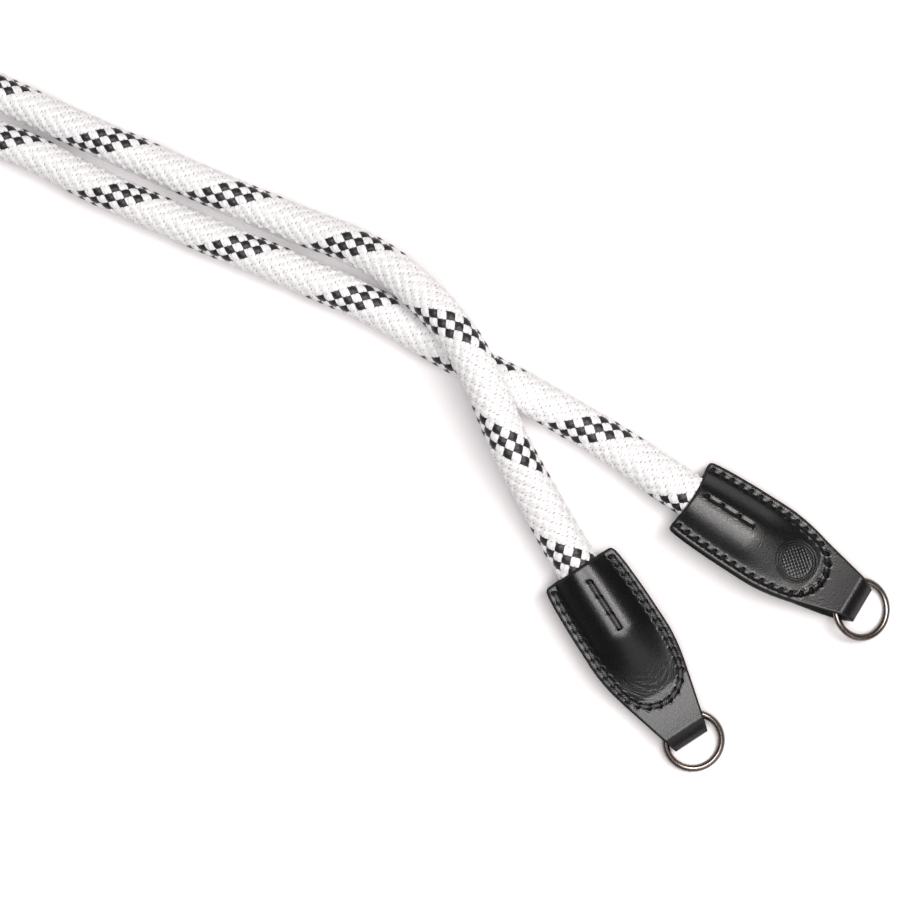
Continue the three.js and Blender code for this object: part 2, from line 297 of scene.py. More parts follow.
def braided_polyester():
    """Bright polyester yarn, braided: each crossing shows a pair of ends of smooth filament, white
    or black, with a silky shine along the yarn, partly painted in as lighter streaks, and painted grey
    shade in the gaps where the ends dive under."""
    material, tree = new_material("braided_polyester_yarn")
    crossing = add(tree, "ShaderNodeUVMap", uv_map="crossing")
    yarn = add(tree, "ShaderNodeUVMap", uv_map="yarn")
    dye = add(tree, "ShaderNodeAttribute", attribute_name="dye")

    # A pair of ends lies side by side in each crossing. The groove is 0 on an end's crown and 1 at
    # its sides, and the dive is 1 where the ends go under.
    on_yarn = add(tree, "ShaderNodeSeparateXYZ", {"Vector": crossing.outputs["UV"]})
    onward = add(tree, "ShaderNodeMath", {0: on_yarn.outputs["Y"]}, operation="ABSOLUTE")
    ahead = add(tree, "ShaderNodeMath", {0: on_yarn.outputs["Y"]}, operation="SIGN")
    past = add(tree, "ShaderNodeMath", {
        0: on_yarn.outputs["Y"], 1: ahead.outputs[0],
    }, operation="SUBTRACT")
    slanted = add(tree, "ShaderNodeMath", {
        0: past.outputs[0], 1: SPLIT_SLANT, 2: on_yarn.outputs["X"],
    }, operation="MULTIPLY_ADD")
    aside = add(tree, "ShaderNodeMath", {0: slanted.outputs[0]}, operation="ABSOLUTE")
    across_end = add(tree, "ShaderNodeMath", {
        0: aside.outputs[0], 1: 2.0, 2: -1.0,
    }, operation="MULTIPLY_ADD")
    off_crown = add(tree, "ShaderNodeMath", {0: across_end.outputs[0]}, operation="ABSOLUTE")
    groove = add(tree, "ShaderNodeMapRange", {
        "Value": off_crown.outputs[0], "From Min": 0.6, "From Max": 1.0,
    }, interpolation_type="SMOOTHSTEP")
    dive = add(tree, "ShaderNodeMapRange", {
        "Value": onward.outputs[0], "From Min": 0.55, "From Max": 0.95,
    }, interpolation_type="SMOOTHSTEP")
    corner = add(tree, "ShaderNodeMath", {
        0: groove.outputs["Result"], 1: dive.outputs["Result"],
    }, operation="MULTIPLY")
    # the painted shade in the gaps is patchy, paler in some places than in others
    place = add(tree, "ShaderNodeTexCoord")
    gap_shade_noise = add(tree, "ShaderNodeTexNoise", {
        "Vector": place.outputs["Object"], "Scale": 1 / (2.2 * MM), "Detail": 2.0,
    })
    gap_shade_patchiness = add(tree, "ShaderNodeMapRange", {
        "Value": gap_shade_noise.outputs["Fac"], "From Min": 0.36, "From Max": 0.54, "To Min": 0.3,
    })
    gap_shade_mask = add(tree, "ShaderNodeMath", {
        0: corner.outputs[0], 1: gap_shade_patchiness.outputs["Result"],
    }, operation="MULTIPLY")

    # filaments 0.35 mm apart, coarser than the real ones so that they show, laid in with a twist
    filaments = add(tree, "ShaderNodeMapping", {
        "Vector": yarn.outputs["UV"], "Rotation": (0, 0, math.radians(24)), "Scale": (2.9, 0.5, 1),
    })
    streaks = add(tree, "ShaderNodeTexNoise", {
        "Vector": filaments.outputs["Vector"], "Scale": 1.0, "Detail": 2.0, "Roughness": 0.5,
    })
    # the lighter streaks are partly the filaments' own tone and partly a painted highlight, most of
    # all on the black yarn
    bright = add(tree, "ShaderNodeMapRange", {
        "Value": streaks.outputs["Fac"], "From Min": 0.42, "From Max": 0.66,
    })
    white = add(tree, "ShaderNodeMix", {
        0: bright.outputs["Result"], 6: hex_colour("#E8E7E9"), 7: hex_colour("#FEFEFE"),
    }, data_type="RGBA")
    black = add(tree, "ShaderNodeMix", {
        0: bright.outputs["Result"], 6: hex_colour("#0B0B0D"), 7: hex_colour("#2E2E32"),
    }, data_type="RGBA")
    dyed = add(tree, "ShaderNodeMix", {
        0: dye.outputs["Fac"], 6: white.outputs[2], 7: black.outputs[2],
    }, data_type="RGBA")
    # painted shade in the gaps: the yarn's colour is darkened there, down to 0.18 of itself
    painted_gap_shade = add(tree, "ShaderNodeMapRange", {
        "Value": gap_shade_mask.outputs[0], "To Min": 1.0, "To Max": 0.18,
    })
    shaded = add(tree, "ShaderNodeMix", {
        0: 1.0, 6: dyed.outputs[2], 7: painted_gap_shade.outputs["Result"],
    }, data_type="RGBA", blend_type="MULTIPLY")

    sunk = add(tree, "ShaderNodeMapRange", {
        "Value": dive.outputs["Result"], "To Min": -0.35, "To Max": -1.3,
    })
    height = add(tree, "ShaderNodeMath", {
        0: groove.outputs["Result"], 1: sunk.outputs["Result"], 2: streaks.outputs["Fac"],
    }, operation="MULTIPLY_ADD")
    relief = add(tree, "ShaderNodeBump", {
        "Height": height.outputs[0], "Strength": 0.6, "Distance": 0.14 * MM,
    })
    shader = add(tree, "ShaderNodeBsdfPrincipled", {
        "Base Color": shaded.outputs[2], "Roughness": 0.45, "IOR": 1.54,
        "Sheen Weight": 0.15, "Sheen Roughness": 0.4, "Normal": relief.outputs["Normal"],
    })
    finish_material(tree, shader)
    return material


def black_nappa(name, stamped):
    """Aniline-dyed calf leather, pressed over the rope and waxed: near black, with a satin sheen
    that a fine grain breaks up, dull down in its stitch holes and painted darker there as shade.
    The stamped end carries a blind stamp; the other one is drawn into fine creases that follow the U
    of its seam."""
    material, tree = new_material(name)
    place = add(tree, "ShaderNodeTexCoord")
    hide = add(tree, "ShaderNodeUVMap", uv_map="hide")
    pricked = add(tree, "ShaderNodeAttribute", attribute_name="from_hole")
    bordering = add(tree, "ShaderNodeAttribute", attribute_name="from_edge")

    # grain 0.35 mm across
    grain = add(tree, "ShaderNodeTexVoronoi", {
        "Vector": place.outputs["Object"], "Scale": 1 / (0.35 * MM), "Randomness": 1.0,
    }, feature="F1")
    fine = add(tree, "ShaderNodeTexNoise", {
        "Vector": place.outputs["Object"], "Scale": 1 / (0.45 * MM), "Detail": 3.0, "Roughness": 0.6,
    })
    cloudy = add(tree, "ShaderNodeTexNoise", {
        "Vector": place.outputs["Object"], "Scale": 1 / (6 * MM), "Detail": 2.0,
    })
    # the stitch holes are painted near black, as the shade down in them
    hole = add(tree, "ShaderNodeMapRange", {
        "Value": pricked.outputs["Fac"], "From Min": 0.7, "From Max": 1.2,
        "To Min": 1.0, "To Max": 0.0,
    }, interpolation_type="SMOOTHSTEP")

    dyed = add(tree, "ShaderNodeMix", {
        0: cloudy.outputs["Fac"], 6: hex_colour("#070708"), 7: hex_colour("#0E0E10"),
    }, data_type="RGBA")
    # the cut edge's paint runs a little way over the face, and the holes are painted darker as shade
    painted = add(tree, "ShaderNodeMapRange", {
        "Value": bordering.outputs["Fac"], "From Min": 0.2, "From Max": 0.75,
        "To Min": 1.0, "To Max": 0.0,
    }, interpolation_type="SMOOTHSTEP")
    edge_paint_and_hole_shade = add(tree, "ShaderNodeMath", {
        0: hole.outputs["Result"], 1: painted.outputs["Result"],
    }, operation="MAXIMUM")
    colour = add(tree, "ShaderNodeMix", {
        0: edge_paint_and_hole_shade.outputs[0], 6: dyed.outputs[2], 7: hex_colour("#010101"),
    }, data_type="RGBA")
    polish = add(tree, "ShaderNodeMapRange", {
        "Value": fine.outputs["Fac"], "From Min": 0.3, "From Max": 0.7, "To Min": 0.25, "To Max": 0.38,
    })
    dulled = add(tree, "ShaderNodeMix", {
        0: edge_paint_and_hole_shade.outputs[0], 2: polish.outputs["Result"], 3: 0.9,
    }, data_type="FLOAT")

    grained = add(tree, "ShaderNodeBump", {
        "Height": grain.outputs["Distance"], "Strength": 0.5, "Distance": 0.05 * MM,
    }, invert=True)
    relief = add(tree, "ShaderNodeBump", {
        "Height": fine.outputs["Fac"], "Strength": 0.4, "Distance": 0.08 * MM,
        "Normal": grained.outputs["Normal"],
    })
    relief = stamp_relief(tree, hide, relief) if stamped else crease_relief(tree, hide, relief)
    relief = hole_relief(tree, pricked, relief)
    shader = add(tree, "ShaderNodeBsdfPrincipled", {
        "Base Color": colour.outputs[2], "Roughness": dulled.outputs[0], "IOR": 1.56,
        "Normal": relief.outputs["Normal"],
    })
    finish_material(tree, shader)
    return material


def hole_relief(tree, pricked, relief):
    """The steep sides of the stitch holes, each with a slightly raised lip."""
    side = add(tree, "ShaderNodeMapRange", {
        "Value": pricked.outputs["Fac"], "From Min": 0.6, "From Max": 1.15,
    }, interpolation_type="SMOOTHSTEP")
    lip = add(tree, "ShaderNodeMapRange", {
        "Value": pricked.outputs["Fac"], "From Min": 1.2, "From Max": 1.9,
        "To Min": 1.35, "To Max": 1.0,
    }, interpolation_type="SMOOTHSTEP")
    height = add(tree, "ShaderNodeMath", {
        0: side.outputs["Result"], 1: lip.outputs["Result"],
    }, operation="MULTIPLY")
    return add(tree, "ShaderNodeBump", {
        "Height": height.outputs[0], "Strength": 0.9, "Distance": 0.35 * MM,
        "Normal": relief.outputs["Normal"],
    })


def crease_relief(tree, hide, relief):
    """Fine creases, about half a millimetre apart, round the closed end of the seam's U."""
    squeezed = add(tree, "ShaderNodeMapping", {
        "Vector": hide.outputs["UV"], "Location": (-CREASES["squeezed_middle"], 0, 0),
        "Scale": (CREASES["squeeze"], 1, 1),
    })
    place = add(tree, "ShaderNodeSeparateXYZ", {"Vector": squeezed.outputs["Vector"]})
    reach = add(tree, "ShaderNodeVectorMath", {0: squeezed.outputs["Vector"]}, operation="LENGTH")
    angle = add(tree, "ShaderNodeMath", {
        0: place.outputs["Y"], 1: place.outputs["X"],
    }, operation="ARCTAN2")
    following = add(tree, "ShaderNodeCombineXYZ", {
        "X": reach.outputs["Value"], "Y": angle.outputs[0],
    })
    stretched = add(tree, "ShaderNodeMapping", {
        "Vector": following.outputs["Vector"],
        "Scale": (CREASES["finely_out"], CREASES["finely_round"], 1),
    })
    creases = add(tree, "ShaderNodeTexNoise", {
        "Vector": stretched.outputs["Vector"], "Scale": 1.0, "Detail": 2.5, "Roughness": 0.6,
    })
    along = add(tree, "ShaderNodeMapRange", {
        "Value": place.outputs["X"], "From Min": CREASES["start"], "From Max": CREASES["full"],
    }, interpolation_type="SMOOTHSTEP")
    inside = add(tree, "ShaderNodeMapRange", {
        "Value": reach.outputs["Value"], "From Min": CREASES["fade"], "From Max": CREASES["end"],
        "To Min": 1.0, "To Max": 0.0,
    })
    where = add(tree, "ShaderNodeMath", {
        0: along.outputs["Result"], 1: inside.outputs["Result"],
    }, operation="MULTIPLY")
    height = add(tree, "ShaderNodeMath", {
        0: creases.outputs["Fac"], 1: where.outputs[0],
    }, operation="MULTIPLY")
    return add(tree, "ShaderNodeBump", {
        "Height": height.outputs[0], "Strength": 0.7, "Distance": 0.3 * MM,
        "Normal": relief.outputs["Normal"],
    })


def stamp_relief(tree, hide, relief):
    """A round blind stamp pressed into the leather: a double rim round plain diagonal hatching."""
    centred = add(tree, "ShaderNodeMapping", {
        "Vector": hide.outputs["UV"], "Location": (-STAMP["t"], 0, 0),
    })
    reach = add(tree, "ShaderNodeVectorMath", {0: centred.outputs["Vector"]}, operation="LENGTH")
    off_rim = add(tree, "ShaderNodeMath", {
        0: reach.outputs["Value"], 1: STAMP["radius"],
    }, operation="SUBTRACT")
    from_rim = add(tree, "ShaderNodeMath", {0: off_rim.outputs[0]}, operation="ABSOLUTE")
    off_line = add(tree, "ShaderNodeMath", {
        0: from_rim.outputs[0], 1: STAMP["rim"] / 2,
    }, operation="SUBTRACT")
    from_line = add(tree, "ShaderNodeMath", {0: off_line.outputs[0]}, operation="ABSOLUTE")
    rim = add(tree, "ShaderNodeMapRange", {
        "Value": from_line.outputs[0], "From Min": STAMP["line_floor"],
        "From Max": STAMP["line_edge"],
    }, interpolation_type="SMOOTHSTEP")

    # lozenges between two sets of pressed lines
    turned = add(tree, "ShaderNodeMapping", {
        "Vector": centred.outputs["Vector"],
        "Rotation": (0, 0, math.radians(STAMP["hatching_turn"])),
        "Scale": (math.pi / STAMP["lozenge"], math.pi / STAMP["lozenge"], 1),
    })
    lines = add(tree, "ShaderNodeVectorMath", {0: turned.outputs["Vector"]}, operation="SINE")
    raised = add(tree, "ShaderNodeVectorMath", {0: lines.outputs["Vector"]}, operation="ABSOLUTE")
    sets = add(tree, "ShaderNodeSeparateXYZ", {"Vector": raised.outputs["Vector"]})
    hatching = add(tree, "ShaderNodeMath", {
        0: sets.outputs["X"], 1: sets.outputs["Y"],
    }, operation="MULTIPLY")
    shallow = add(tree, "ShaderNodeMapRange", {
        "Value": hatching.outputs[0], "To Min": 0.6, "To Max": 1.0,
    })
    inside = add(tree, "ShaderNodeMapRange", {
        "Value": reach.outputs["Value"], "From Min": STAMP["radius"] - STAMP["field_in"],
        "From Max": STAMP["radius"] - STAMP["field_out"], "To Min": 1.0, "To Max": 0.0,
    })
    motif = add(tree, "ShaderNodeMix", {
        0: inside.outputs["Result"], 2: 1.0, 3: shallow.outputs["Result"],
    }, data_type="FLOAT")
    pressed = add(tree, "ShaderNodeMath", {
        0: rim.outputs["Result"], 1: motif.outputs[0],
    }, operation="MULTIPLY")
    return add(tree, "ShaderNodeBump", {
        "Height": pressed.outputs[0], "Strength": 0.8, "Distance": 0.22 * MM,
        "Normal": relief.outputs["Normal"],
    })


def painted_edge():
    """The leather's cut edge, filled and painted black: smoother and a little glossier than the
    face, with the slight unevenness of a brushed coat."""
    material, tree = new_material("painted_leather_edge")
    place = add(tree, "ShaderNodeTexCoord")
    coat = add(tree, "ShaderNodeTexNoise", {
        "Vector": place.outputs["Object"], "Scale": 1 / (0.8 * MM), "Detail": 3.0,
    })
    polish = add(tree, "ShaderNodeMapRange", {
        "Value": coat.outputs["Fac"], "To Min": 0.3, "To Max": 0.5,
    })
    relief = add(tree, "ShaderNodeBump", {
        "Height": coat.outputs["Fac"], "Strength": 0.5, "Distance": 0.1 * MM,
    })
    shader = add(tree, "ShaderNodeBsdfPrincipled", {
        "Base Color": hex_colour("#09090A"), "Roughness": polish.outputs["Result"], "IOR": 1.45,
        "Normal": relief.outputs["Normal"],
    })
    finish_material(tree, shader)
    return material


def waxed_thread():
    """Twisted black thread, waxed: dark, with small glints along its twist painted in as lighter grey.
    """
    material, tree = new_material("waxed_black_thread")
    twist = add(tree, "ShaderNodeUVMap", uv_map="thread")
    # strands 0.6 mm apart
    strands = add(tree, "ShaderNodeTexWave", {
        "Vector": twist.outputs["UV"], "Scale": 1.0, "Distortion": 1.5, "Detail": 2.0,
    }, bands_direction="DIAGONAL")
    # the lighter grey along the strands is a painted glint on a black thread
    colour = add(tree, "ShaderNodeMix", {
        0: strands.outputs["Fac"], 6: hex_colour("#09090A"), 7: hex_colour("#74747C"),
    }, data_type="RGBA")
    relief = add(tree, "ShaderNodeBump", {
        "Height": strands.outputs["Fac"], "Strength": 0.7, "Distance": 0.15 * MM,
    })
    shader = add(tree, "ShaderNodeBsdfPrincipled", {
        "Base Color": colour.outputs[2], "Roughness": 0.38, "IOR": 1.5,
        "Normal": relief.outputs["Normal"],
    })
    finish_material(tree, shader)
    return material


def polished_gunmetal():
    """Steel wire, plated dark nickel and polished: sharp bright reflections in a warm dark grey,
    with the faint drawn lines of the wire."""
    material, tree = new_material("polished_gunmetal_plating")
    place = add(tree, "ShaderNodeTexCoord")
    drawn = add(tree, "ShaderNodeTexNoise", {
        "Vector": place.outputs["Object"], "Scale": 1 / (0.6 * MM), "Detail": 3.0,
    })
    polish = add(tree, "ShaderNodeMapRange", {
        "Value": drawn.outputs["Fac"], "To Min": 0.2, "To Max": 0.32,
    })
    colour = add(tree, "ShaderNodeMix", {
        0: drawn.outputs["Fac"], 6: hex_colour("#7F7873"), 7: hex_colour("#9C928C"),
    }, data_type="RGBA")
    # thin dark plating darkens towards its edges instead of whitening
    shader = add(tree, "ShaderNodeBsdfPrincipled", {
        "Base Color": colour.outputs[2], "Metallic": 1.0, "Roughness": polish.outputs["Result"],
        "Specular Tint": hex_colour("#3A322E"),
    })
    finish_material(tree, shader)
    return material


def faintly_glowing_acrylic():
    """The table top: matt opal white acrylic, with a glow painted in so faint that it only lifts the
    shadows a little."""
    material, tree = new_material("opal_acrylic_with_painted_glow")
    place = add(tree, "ShaderNodeTexCoord")
    cloudy = add(tree, "ShaderNodeTexNoise", {
        "Vector": place.outputs["Object"], "Scale": 1 / (40 * MM), "Detail": 2.0,
    })
    colour = add(tree, "ShaderNodeMix", {
        0: cloudy.outputs["Fac"], 6: hex_colour("#F7F4F5"), 7: hex_colour("#FAF8F9"),
    }, data_type="RGBA")
    shader = add(tree, "ShaderNodeBsdfPrincipled", {
        "Base Color": colour.outputs[2], "Roughness": 0.95, "Specular IOR Level": 0.1,
        # a faint painted glow, which lifts the shadows on the table
        "Emission Color": hex_colour("#FFF4F9"), "Emission Strength": 0.02,
    })
    finish_material(tree, shader)
    return material


# ---------------------------------------------------------------- making pieces and lights


def put_in_scene(name, data):
    made = bpy.data.objects.new(name, data)
    bpy.context.scene.collection.objects.link(made)
    return made


def add_piece(name, bm, materials, body=None):
    """Turns a bmesh into a smooth-shaded object at the origin, riding on its body."""
    mesh = bpy.data.meshes.new(name)
    bm.to_mesh(mesh)
    bm.free()
    mesh.polygons.foreach_set("use_smooth", [True] * len(mesh.polygons))
    for material in materials:
        mesh.materials.append(material)
    piece = put_in_scene(name, mesh)
    if body:
        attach(piece, body)
    return piece


# ---------------------------------------------------------------- the rope


def rope_centre_line():
    """The rope's centre line, in metres: a centripetal Catmull-Rom curve through its route."""
    points = [Vector(point) * MM for point in ROPE_ROUTE]
    points.insert(0, points[0] * 2 - points[1])
    points.append(points[-1] * 2 - points[-2])
    line = []
    for a, b, c, d in zip(points, points[1:], points[2:], points[3:]):
        before, here, after = ((q - p).length ** 0.5 for p, q in ((a, b), (b, c), (c, d)))
        leave = ((b - a) / before - (c - a) / (before + here) + (c - b) / here) * here
        arrive = ((c - b) / here - (d - b) / (here + after) + (d - c) / after) * here
        for i in range(ROUTE_STEPS):
            x = i / ROUTE_STEPS
            cubic = (b - c) * 2 + leave + arrive
            square = (c - b) * 3 - leave * 2 - arrive
            line.append(b + leave * x + square * x ** 2 + cubic * x ** 3)
    line.append(points[-2])
    return line


class Route:
    """Finds the place and direction of the rope at a distance along its centre line, in metres."""

    def __init__(self, line):
        self.line = line
        self.arcs = [0.0]
        for a, b in zip(line, line[1:]):
            self.arcs.append(self.arcs[-1] + (b - a).length)
        self.length = self.arcs[-1]
        steps = [(b - a).normalized() for a, b in zip(line, line[1:])]
        self.headings = [(a + b).normalized() for a, b in zip(steps[:1] + steps, steps + steps[-1:])]

    def at(self, arc):
        """The rope's centre there, and the directions to its left and to its top."""
        i = min(max(bisect_right(self.arcs, arc) - 1, 0), len(self.line) - 2)
        share = (arc - self.arcs[i]) / (self.arcs[i + 1] - self.arcs[i])
        centre = self.line[i].lerp(self.line[i + 1], share)
        heading = self.headings[i].lerp(self.headings[i + 1], share).normalized()
        left = UP.cross(heading).normalized()
        return centre, left, heading.cross(left)


def band_table(length):
    """Rows of arc, in metres, and the band's turns there, run on to both ends of the rope."""
    tops = [(arc * MM, turn) for turn, arc in enumerate(BAND_TOPS_LEFT)]
    past_bight = len(BAND_TOPS_LEFT) - 1 + BIGHT_TURNS
    tops += [(arc * MM, past_bight + i) for i, arc in enumerate(BAND_TOPS_RIGHT)]
    pitch = BAND_TOPS_LEFT[1] * MM - BAND_TOPS_LEFT[0] * MM
    first_turn = tops[0][1] - tops[0][0] / pitch
    last_turn = tops[-1][1] + (length - tops[-1][0]) / pitch
    rows = [(0.0, first_turn), *tops, (length, last_turn)]
    return [{"arc": arc, "turn": turn} for arc, turn in rows]


def yarn_relief(along, across):
    """Height of a yarn over its crossing: 1 at its middle, a half at its borders, 0 at its corners,
    with both coordinates from -1 to 1."""
    return (1 - along ** 2 / 2) * (1 - across ** 2 / 2) - (along * across) ** 2 / 4


def braid_sheet(turns):
    """The braid as a flat strip of crossings, YARNS wide, that winds round the rope.

    It lies on a lattice p, q whose two lines are the two ways of the yarns: p + q counts along the
    rope and p - q round it, 2 * YARNS to a turn. The strip runs on past both ends of the rope.
    """
    low = math.floor(turns[0]["turn"]) - 1
    high = math.ceil(turns[-1]["turn"]) + 1
    rows = (high - low) * 2 * YARNS
    bm = bmesh.new()
    bmesh.ops.create_grid(bm, x_segments=YARNS * CELL_STEPS, y_segments=rows * CELL_STEPS, size=0.5)
    corner = Vector((YARNS / 2, rows / 2 + low * 2 * YARNS - YARNS, 0))
    lattice = Matrix.LocRotScale(corner, None, (YARNS, rows, 1))
    bm.transform(lattice)
    bm.verts.layers.float.new("depth")
    bm.faces.layers.float.new("dye")
    bm.loops.layers.uv.new("yarn")
    bm.loops.layers.uv.new("crossing")
    return bm


def weave(bm):
    """Marks each point's height in the relief, and each crossing's colour and the run of its yarn,
    still on the lattice."""
    depth = bm.verts.layers.float["depth"]
    dye = bm.faces.layers.float["dye"]
    run = bm.loops.layers.uv["yarn"]
    crossing = bm.loops.layers.uv["crossing"]
    half_pair = math.pi * ROPE_WIDTH / YARNS / MM * math.cos(math.radians(BRAID_ANGLE)) / 2
    for vert in bm.verts:
        p, q = vert.co.x, vert.co.y
        i, j = math.floor(p + ON_BORDER), math.floor(q + ON_BORDER)
        a, b = (q - j) * 2 - 1, (p - i) * 2 - 1
        over = (i + j) % 2 == 0
        vert[depth] = yarn_relief(a, b) if over else yarn_relief(b, a)
    for face in bm.faces:
        middle = face.calc_center_median()
        i, j = math.floor(middle.x), math.floor(middle.y)
        over = (i + j) % 2 == 0
        face[dye] = 1.0 if over and i % YARNS < BLACK_YARNS else 0.0
        for loop in face.loops:
            b, a = (loop.vert.co.x - i - 0.5) * 2, (loop.vert.co.y - j - 0.5) * 2
            across, along = (b, a) if over else (a, b)
            slip = SLIP["one_way"] * i + SLIP["other_way"] * j
            loop[crossing].uv = (across, along)
            loop[run].uv = (across * half_pair + slip, along * half_pair + SLIP["along"] * slip)


def roll_up(bm, route, turns):
    """Cuts the strip square, rolls it round the route and closes its seam and its ends."""
    depth = bm.verts.layers.float["depth"]
    for vert in bm.verts:
        p, q = vert.co.x, vert.co.y
        vert.co = Vector(((p + q) / 2 / YARNS, (p - q) / 2 / YARNS, 0))
    for turn, way in ((turns[0]["turn"], -1), (turns[-1]["turn"], 1)):
        bmesh.ops.bisect_plane(
            bm, geom=[*bm.verts, *bm.edges, *bm.faces], plane_co=(turn, 0, 0), plane_no=(way, 0, 0),
            clear_outer=True,
        )
    to_top = 0.25           # of a turn, from the rope's left side
    band_middle = BLACK_YARNS / 2 / YARNS
    for vert in bm.verts:
        turn, around = vert.co.x, vert.co.y
        arc = between(turns, "turn", turn, "arc")
        angle = 2 * math.pi * (around + to_top - band_middle)
        centre, left, top = route.at(arc)
        sink = YARN_HEIGHT * (vert[depth] - 1)
        half_width = between(ROPE_SECTION, "arc", arc / MM, "half_width") * MM + sink
        half_height = between(ROPE_SECTION, "arc", arc / MM, "half_height") * MM + sink
        aside, above = half_width * math.cos(angle), half_height * math.sin(angle)
        vert.co = centre + left * aside + top * above
    bmesh.ops.remove_doubles(bm, verts=bm.verts, dist=WELD)
    bmesh.ops.holes_fill(bm, edges=[edge for edge in bm.edges if edge.is_boundary])
    bmesh.ops.recalc_face_normals(bm, faces=bm.faces)


def lay_rope():
    line = rope_centre_line()
    route = Route(line)
    turns = band_table(route.length)
    bm = braid_sheet(turns)
    weave(bm)
    roll_up(bm, route, turns)
    rope = add_piece("rope_braid", bm, [braided_polyester()], body="strap")
    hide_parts("rope")


# ---------------------------------------------------------------- the leather ends


def tab_half(t):
    """Half width of the tab, its outline's bends eased."""
    ease = max(0.0, min(LEATHER["outline_ease"], t, LEATHER["length"] - t))
    near = [between(TAB_OUTLINE, "t", t + way * ease, "half") for way in (-1, 0, 0, 1)]
    return sum(near) / len(near)


def mouth_line(end, s):
    """The mouth's edge as t at s: hollowed or full in the middle, with its corners rounded off."""
    corner = LEATHER["corner"]
    half = tab_half(0)
    inside = max(0.0, abs(s) - (half - corner))
    rounding = corner - math.sqrt(max(0.0, corner * corner - inside * inside))
    hollow = end["mouth_hollow"] * math.cos(s / half * math.pi / 2)
    return end["mouth_from"] + hollow + rounding


def u_half(t, inset, end):
    """Half width, at t, of a U that runs this far inside the tab's edge and closes at its end."""
    straight = tab_half(min(t, LEATHER["u_from"])) - inset
    closing = max(0.0, t - LEATHER["u_from"]) / (end - LEATHER["u_from"])
    return straight * math.sqrt(max(0.0, 1 - closing * closing))


def place_on_end(end):
    """A function that sets a point t, s, n of the leather end's own frame down where it lies, in
    metres: t from the mouth to the ring, s to the tab's left, n up from its middle."""
    heading = math.radians(end["heading"])
    along = Vector((math.cos(heading), math.sin(heading), 0))
    left = UP.cross(along)
    mouth = Vector(end["mouth"])

    def place(t, s, n):
        bent = smoothstep(t, LEATHER["bend_from"], LEATHER["bend_to"])
        roll = end["roll_mouth"] + (end["roll_loop"] - end["roll_mouth"]) * bent
        # the flange that the tab leans on is pressed flatter
        eased = end["curl"] * (1 - bent) * max(0.0, s)
        lean = math.radians(roll - eased / 2)
        tilt = math.radians(roll - eased)
        across = left * math.cos(lean) - UP * math.sin(lean)
        normal = left * math.sin(tilt) + UP * math.cos(tilt)
        middle = mouth + along * t - UP * (end["droop"] * bent)
        return (middle + across * s + normal * n) * MM

    return place


def face_height(end, t, s, side):
    """Height of the leather's outer face over the tab's middle, before the stitches draw it in:
    side is 1 for the upper face and -1 for the lower one."""
    wall = LEATHER["wall"]
    full = LEATHER["loop_full"] if side > 0 else LEATHER["loop_full_below"]
    parting = (t - LEATHER["loop_start"]) / (full - LEATHER["loop_start"])
    flat = wall + (LEATHER["loop_height"] - wall) * min(1.0, max(0.0, parting))
    half = u_half(t, LEATHER["bulge_inset"], LEATHER["bulge_end"])
    if half < LEATHER["bulge_least"] or abs(s) >= half:
        return flat
    beyond = (t - LEATHER["bulge_full"]) / (LEATHER["bulge_end"] - LEATHER["bulge_full"])
    beyond = min(1.0, math.hypot(max(0.0, beyond), LEATHER["bulge_knee"]) - LEATHER["bulge_knee"])
    share = (1 - beyond) ** end["bulge_slope"]
    crown = (1 - (abs(s) / half) ** LEATHER["bulge_flat"]) ** LEATHER["bulge_crown"]
    rise = (LEATHER["bulge_height"] - wall) * end["bulge_share"] * share * crown
    fading = 1 - smoothstep(t, LEATHER["bulge_full"], LEATHER["bulge_full"] + LEATHER["valley_fade"])
    from_row = (s - end["row_aside"]) / LEATHER["valley_width"]
    valley = end["valley"] * fading * math.exp(-from_row ** 2)
    return max(flat, wall + rise - valley)


def seam_path():
    """Closely spaced points t, s along the U of the seam."""
    side = []
    t = SEAM_START
    while t < LEATHER["u_from"]:
        side.append((t, tab_half(t) - LEATHER["seam_inset"]))
        t += SEAM_STEP
    across = tab_half(LEATHER["u_from"]) - LEATHER["seam_inset"]
    depth = LEATHER["seam_end"] - LEATHER["u_from"]
    bend = []
    for i in range(SEAM_BEND_STEPS + 1):
        angle = math.pi * i / SEAM_BEND_STEPS
        bend.append((LEATHER["u_from"] + depth * math.sin(angle), across * math.cos(angle)))
    return side + bend + [(t, -s) for t, s in reversed(side)]


def seam_holes():
    """The seam's holes, evenly spaced along the U."""
    path = seam_path()
    arcs = [0.0]
    for (t1, s1), (t2, s2) in zip(path, path[1:]):
        arcs.append(arcs[-1] + math.hypot(t2 - t1, s2 - s1))
    count = round(arcs[-1] / SEAM_PITCH)
    holes = []
    for k in range(count + 1):
        i = min(bisect_right(arcs, arcs[-1] * k / count), len(path) - 1)
        holes.append(path[i])
    return holes


def near_stitches(t, s, rows):
    """How far t, s is from the nearest stitch hole, in half sizes of the hole's oval, and from
    the nearest row, in millimetres."""
    from_hole, from_row = NO_STITCH, NO_STITCH
    lean = math.radians(HOLE["slant"])
    for row in rows:
        for (t1, s1), (t2, s2) in zip(row, row[1:]):
            if abs(t - t1) > STITCH_REACH or abs(s - s1) > STITCH_REACH:
                continue
            run = math.hypot(t2 - t1, s2 - s1)
            onward = ((t - t1) * (t2 - t1) + (s - s1) * (s2 - s1)) / run
            aside = ((s - s1) * (t2 - t1) - (t - t1) * (s2 - s1)) / run
            from_row = min(from_row, math.hypot(onward - min(max(onward, 0), run), aside))
            for start in (onward, onward - run):
                length = (aside * math.cos(lean) + start * math.sin(lean)) / HOLE["half_length"]
                width = (start * math.cos(lean) - aside * math.sin(lean)) / HOLE["half_width"]
                from_hole = min(from_hole, math.hypot(length, width))
    return from_hole, from_row


